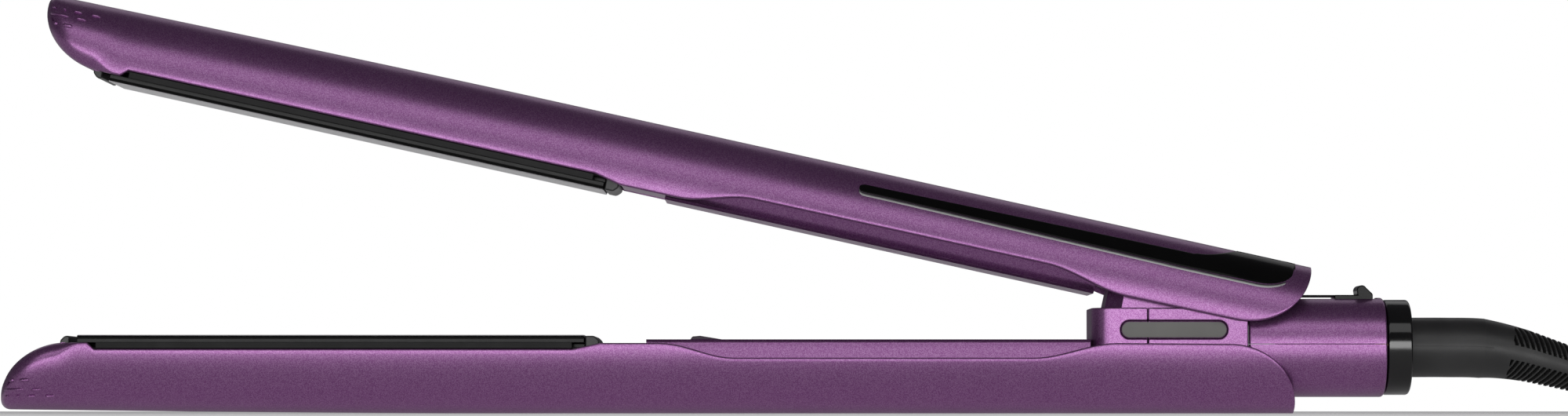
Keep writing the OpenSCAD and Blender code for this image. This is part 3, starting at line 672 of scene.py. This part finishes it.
def barrel():
    """Two halves with a fine gap between them. The upper one is open for the knuckle and
    the slider."""
    lo, hi = node_box("barrel_lower")
    width, split, half_gap = hi.y - lo.y, 15.1, 0.08
    height = 2 * (HINGE_Z - lo.z)
    for name, node, away in (("barrel_top_half", "barrel_upper", (0, split + half_gap)),
                             ("barrel_bottom_half", "barrel_lower", (split - half_gap, 40))):
        verts, faces = turned_oval(lo.x, hi.x, width, height, 0.5, width - 4, height - 4)
        half = piece(name, verts, faces, PURPLE, "barrel", "base", [node])
        tools = [box_tool((lo.x - 2, hi.x + 2), (-20, 20), away)]
        if node == "barrel_upper":
            tools += [box_tool((lo.x - 2, HINGE_X + 10.6), (-5.8, 5.8), (HINGE_Z, 30)),
                      box_tool((HINGE_X + 9, HINGE_X + 27.8), (-4.3, 4.3), (24.4, 30))]
        drill(half, tools)


def collar():
    lo, hi = node_box("end_collar")
    verts, faces = turned_oval(lo.x, hi.x, hi.y - lo.y, hi.z - lo.z, 0.55, 14, 14)
    piece("collar_ring", verts, faces, GLOSS_BLACK, "collar", "base", ["end_collar"])


# ---------------------------------------------------------------- cord

def spline(points, spacing):
    """A smooth curve through the points, with steps of about the given spacing."""
    p = [Vector(v) for v in points]
    line = []
    for i in range(len(p) - 1):
        p1, p2 = p[i], p[i + 1]
        p0 = 2 * p1 - p2 if i == 0 else p[i - 1]
        p3 = 2 * p2 - p1 if i == len(p) - 2 else p[i + 2]
        steps = max(1, round((p2 - p1).length / spacing))
        for s in range(steps + (i == len(p) - 2)):
            t = s / steps
            line.append(0.5 * (2 * p1 + (p2 - p0) * t + (2 * p0 - 5 * p1 + 4 * p2 - p3) * t * t
                               + (3 * p1 - p0 - 3 * p2 + p3) * t ** 3))
    return line


def tube(line, radius, sides, shape=None):
    """Rings square to the line, each turned as little as it can be from the last.
    radius is a number or one for each point, and shape adds to it."""
    rings = []
    for i, point in enumerate(line):
        ahead = (line[min(i + 1, len(line) - 1)] - line[max(i - 1, 0)]).normalized()
        if i:
            last = Vector(rings[-1][0]) - line[i - 1]
            up = (last - ahead * last.dot(ahead)).normalized()
        else:
            up = ahead.cross(Vector((0, 1, 0))).normalized()
        across = ahead.cross(up)
        r = radius[i] if isinstance(radius, list) else radius
        ring = []
        for k in range(sides):
            a = math.tau * k / sides
            flat = math.cos(a) * up + math.sin(a) * across
            ring.append(tuple(point + (r + (shape(i, flat) if shape else 0)) * flat))
        rings.append(ring)
    return rings


GUARD_END = Vector((204, 0, 6.4))
CORD_R = 3.0
# The hank: heights of its layers, where its near fold turns, the length of its runs, the
# radii of its outer and inner folds, and half of how far the tie draws it in.
LAYERS = (3.9, 9.9, 15.9)
FOLD_X, RUN, OUTER, INNER, PINCH = 263.0, 68.0, 24.0, 18.0, 6.0
LEAD_OUT = [(204, 0, 6.4), (211, -1, 5), (218, -4, 4), (226, -9, 3.6), (234, -15, 3.8),
            (239, -19, 3.9), (249, -23, 3.9)]
TAIL = [(325, 17.6, 17.5), (318, 15.8, 20.5), (311, 12.8, 23.6), (304, 10.2, 25.4),
        (297, 9, 25.9)]


def drawn_in(x):
    """How far a run lies inside its folds' radius, most at the tie."""
    return PINCH * (1 - math.cos(math.tau * (x - FOLD_X) / RUN))


def hank_points():
    """Five and a half loops in three layers. Where one strand passes another, it moves
    over or out early enough to stay about a diameter away."""
    low, mid, high = LAYERS
    points = []

    def run(side, r, z, forward, r_end=None, z_end=None, change=(0.1, 0.9)):
        for i in range(1, 12):
            u = i / 12
            x = FOLD_X + RUN * (u if forward else 1 - u)
            e = ease((u - change[0]) / (change[1] - change[0]))
            radius = r + ((r_end or r) - r) * e
            points.append((x, side * (radius - drawn_in(x)), z + ((z_end or z) - z) * e))

    def far(r, z):
        for i in range(0, 13):
            a = math.pi * (i / 12 - 0.5)
            points.append((FOLD_X + RUN + r * math.cos(a), r * math.sin(a), z))

    def near(r, z, r_end, z_end, change=(0, 1)):
        for i in range(0, 13):
            a = math.pi * (i / 12 + 0.5)
            e = ease((i / 12 - change[0]) / (change[1] - change[0]))
            radius = r + (r_end - r) * e
            points.append((FOLD_X + radius * math.cos(a), radius * math.sin(a),
                           z + (z_end - z) * e))

    points.append((FOLD_X, -OUTER, low))
    run(-1, OUTER, low, True), far(OUTER, low), run(1, OUTER, low, False)
    near(OUTER, low, INNER, low, (0.5, 1))
    run(-1, INNER, low, True), far(INNER, low), run(1, INNER, low, False)
    near(INNER, low, INNER, mid, (0.06, 0.53))
    run(-1, INNER, mid, True), far(INNER, mid), run(1, INNER, mid, False)
    near(INNER, mid, OUTER, mid, (0, 0.4))
    run(-1, OUTER, mid, True), far(OUTER, mid)
    run(1, OUTER, mid, False, z_end=high, change=(0.5, 1))
    near(OUTER, high, OUTER, high)
    run(-1, OUTER, high, True), far(OUTER, high)
    run(1, OUTER, high, False, r_end=INNER, change=(0.08, 0.5))
    near(INNER, high, INNER, high)
    run(-1, INNER, high, True), far(INNER, high)
    return points


def cord():
    line = spline(LEAD_OUT + hank_points() + TAIL, 2.5)
    verts, faces = loft(tube(line, CORD_R, 16))
    obj = piece("cord_whole", verts, faces, CORD, "cord", None,
                ["cord_lead", "cord_hank", "cord_tail"], LOWER, 60)
    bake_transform(obj)
    plug = edged_copy("plug_moulding", "plug_body", PLUG, "plug", "base", 1.6, 4)
    tie()


def tie():
    """A woven tape round the waist of the hank."""
    lo, hi = node_box("cord_tie")
    w, h = hi.y, (hi.z - lo.z) / 2
    thick, edge, r = 0.8, 0.2, 3.0
    middle = (lo.z + hi.z) / 2

    def loop(inset):
        ring = []
        for sy, sz, start in ((1, 1, 0), (-1, 1, 90), (-1, -1, 180), (1, -1, 270)):
            for i in range(9):
                a = math.radians(start + 11.25 * i)
                ring.append((sy * (w - r) + (r - inset) * math.cos(a),
                             middle + sz * (h - r) + (r - inset) * math.sin(a)))
        return ring

    rings = []
    for x, inset in ((lo.x, edge), (lo.x + edge, 0), (hi.x - edge, 0), (hi.x, edge),
                     (hi.x, thick), (lo.x, thick)):
        rings.append([(x, y, z) for y, z in loop(inset)])
    return piece("tie_band", *hoop(rings), TAPE, "tie", "base", ["cord_tie"])


def strain_relief():
    """Straight out of the collar, then bent down and tapering, with cross slots."""
    start = node_box("strain_relief")[0].x
    route = [(start, 0, 14.5), (163, 0, 14.5), (171, 0, 14.3), (179, 0, 13), (187, 0, 10.8),
             (196, 0, 8.2), tuple(GUARD_END)]
    line = spline(route, 0.16)
    total, reach = [0.0], 0.0
    for a, b in zip(line, line[1:]):
        reach += (b - a).length
        total.append(reach)
    straight, radius, taper = 16.4, 6.55, 2.65
    slots_from, pitch, depth = 22.5, 1.24, 1.25
    radii = [radius if s < straight
             else radius - taper * ((s - straight) / (reach - straight)) ** 0.85
             for s in total]
    radii = [r - 0.35 * (1 - clamp(s / 0.35)) for r, s in zip(radii, total)]
    radii = [r - 0.5 * clamp(1 - (reach - s) / 0.5) for r, s in zip(radii, total)]

    def cuts(i, flat):
        """A mould seam along each side, and slanted slots above and below it."""
        s = total[i]
        slope = math.degrees(math.asin(clamp(abs(flat.z), 0, 1)))
        seam = -0.08 if slope < 0.9 and s < straight + 2 else 0
        if not 16 < slope < 76 or s < slots_from or s > reach - 2:
            return seam
        place = (s + 0.045 * (slope - 16) - (1.6 if flat.z > 0 else 0)) / pitch
        gap = abs((place % 1) - 0.5)
        edge = ease((slope - 16) / 4) * ease((76 - slope) / 4)
        return -depth * edge * ease((0.27 - gap) / 0.07)

    verts, faces = loft(tube(line, radii, 180, cuts))
    piece("guard_moulding", verts, faces, GUARD, "guard", "swivel", ["strain_relief"], LOWER, 50)


cord()
strain_relief()

# ---------------------------------------------------------------- arms

shell("lower_shell_skin", "lower_outer_shell", "base", LOWER)
nose_marks("lower_nose_marks", "base", LOWER)
upper = shell("upper_shell_skin", "upper_outer_shell", "upper_arm", UPPER)
# For the three keys and the lens: distance ahead of the hinge, and radius.
PANEL_HOLES = ((70, 3.3), (58, 3.3), (44, 4.3), (30, 1.4))
drill(upper, [round_tool(HINGE_X - x, r, UPPER) for x, r in PANEL_HOLES])
nose_marks("upper_nose_marks", "upper_arm", UPPER)
control_panel()
barrel()
collar()

# Name, node, material, slot, and width of the rounded edges.
EDGED = [
    ("{}_carrier_body", "{}_plate_carrier", CARRIER, "carrier", 0.25),
    ("{}_cap_front", "{}_front_cap", CAP, "plate_cap", 0.4),
    ("{}_cap_rear", "{}_rear_cap", CAP, "plate_cap", 0.4),
]


def lean(where, reach):
    """Leans a cover's flanks in towards its inner face, by reach at its edge."""
    back = where.inverted()

    def move(co):
        x, y, z = back @ (1000 * co)
        inward = reach * clamp((z - 11.5) / 4.5) * clamp(abs(y) / 4)
        return 0.001 * (where @ Vector((x, y - math.copysign(inward, y), z)))

    return move


ARMS = (("lower", "base", LOWER, 0.5), ("upper", "upper_arm", UPPER, 2.6))
for side, body, where, reach in ARMS:
    edged_copy(f"{side}_cover_skin", f"{side}_inner_cover", PURPLE, "inner_shell", body, 0.35,
               move=lean(where, reach))
    for name, node, mat, slot, width in EDGED:
        edged_copy(name.format(side), node.format(side), mat, slot, body, width)
for name, node, mat, slot, body, width in [
    ("stop_pad", "closing_stop", STOP, "stop", "base", 0.25),
    ("housing_nose", "housing_front", PURPLE, "barrel", "base", 0.5),
    ("housing_cheeks", "housing_rear", PURPLE, "barrel", "base", 0.3),
    ("pill_inlays", "housing_inlays", INLAY, "inlay", "base", 0.12),
    ("knuckle_block", "hinge_knuckle", PURPLE, "knuckle", "upper_arm", 0.4),
    ("slider_hook", "lock_slider", DEEP_BLACK, "slider", "lock", 0.35),
    ("power_key_cap", "power_button", SATIN, "power_key", "power_key", 0.3),
    ("heat_up_key_cap", "heat_up_button", KEY, "key", "heat_up_key", 0.3),
    ("heat_down_key_cap", "heat_down_button", KEY, "key", "heat_down_key", 0.3),
]:
    edged_copy(name, node, mat, slot, body, width)

for side, normal in (("lower", Vector((0, 0, 1))),
                     ("upper", -(ABOUT_HINGE.to_3x3() @ Vector((0, 0, 1))))):
    plate = edged_copy(f"{side}_plate_slab", f"{side}_heater_plate", DEEP_BLACK, "plate",
                       f"{side}_plate", 0.2)
    plate.data.materials.append(PLATE)
    for face in plate.data.polygons:
        face.material_index = int(face.normal.dot(normal) > 0.8)

# CAD nodes whose shape is right, by the material they get.
KEPT = {
    STEEL: ["lower_heater_clip", "upper_heater_clip", "lower_plate_springs",
            "upper_plate_springs", "lower_screws", "upper_screws", "thermal_fuse",
            "tact_switches", "lock_catch", "hinge_pin", "hinge_bracket", "hinge_spring"],
    HEATER: ["lower_ptc_heater", "upper_ptc_heater", "thermistor"],
    WIRE: ["lower_leads", "upper_leads"],
    LENS: ["indicator_lens"],
    BOARD: ["circuit_board"],
    BLACK_PART: ["board_parts", "swivel_neck"],
    BRASS: ["hinge_bush", "swivel_bush"],
    PIN_METAL: ["plug_pins"],
}
for mat, nodes in KEPT.items():
    for node in nodes:
        obj = frame["nodes"][node]
        obj.data.materials.clear()
        obj.data.materials.append(mat)


# ---------------------------------------------------------------- floor and light

def floor():
    mesh = bpy.data.meshes.new("floor")
    mesh.from_pydata([(-6, -6, 0), (6, -6, 0), (6, 6, 0), (-6, 6, 0)], [], [(0, 1, 2, 3)])
    obj = new_object("floor", mesh)
    mat, _, bsdf = shader("pale_floor")
    set_up(bsdf, Base_Color=(0.9, 0.9, 0.9, 1), Roughness=0.9,
           Emission_Color=(1, 1, 1, 1), Emission_Strength=0.20)
    mesh.materials.append(mat)


def area_light(name, place, aim, size, power):
    data = bpy.data.lights.new(name, "AREA")
    data.shape, data.size, data.size_y, data.energy = "RECTANGLE", *size, power
    obj = new_object(name, data)
    obj.location = place
    obj.rotation_euler = (Vector(aim) - Vector(place)).to_track_quat("-Z", "Y").to_euler()


def world():
    """White where the camera looks, and a dimmer room for the light on the object."""
    sky = bpy.data.worlds.new("studio")
    bpy.context.scene.world = sky
    sky.use_nodes = True
    tree = sky.node_tree
    tree.nodes.clear()
    ray, mix, out = (tree.nodes.new(k) for k in (
        "ShaderNodeLightPath", "ShaderNodeMixShader", "ShaderNodeOutputWorld"))
    room, white = (tree.nodes.new("ShaderNodeBackground") for _ in range(2))
    room.inputs["Color"].default_value = (0.075, 0.072, 0.080, 1)
    white.inputs["Color"].default_value = (1, 1, 1, 1)
    tree.links.new(ray.outputs["Is Camera Ray"], mix.inputs[0])
    tree.links.new(room.outputs[0], mix.inputs[1])
    tree.links.new(white.outputs[0], mix.inputs[2])
    tree.links.new(mix.outputs[0], out.inputs["Surface"])


floor()
world()
area_light("front_box", (0.05, -1.5, 0.085), (0.0, 0, 0.04), (3.4, 0.17), 12.5)
area_light("high_box", (0.05, -1.3, 0.95), (0, 0, 0.04), (3.0, 0.7), 8)
area_light("back_box", (0.1, 1.5, 1.1), (0, 0, 0.04), (2.4, 0.8), 2.5)
bpy.context.scene.view_settings.view_transform = "Standard"
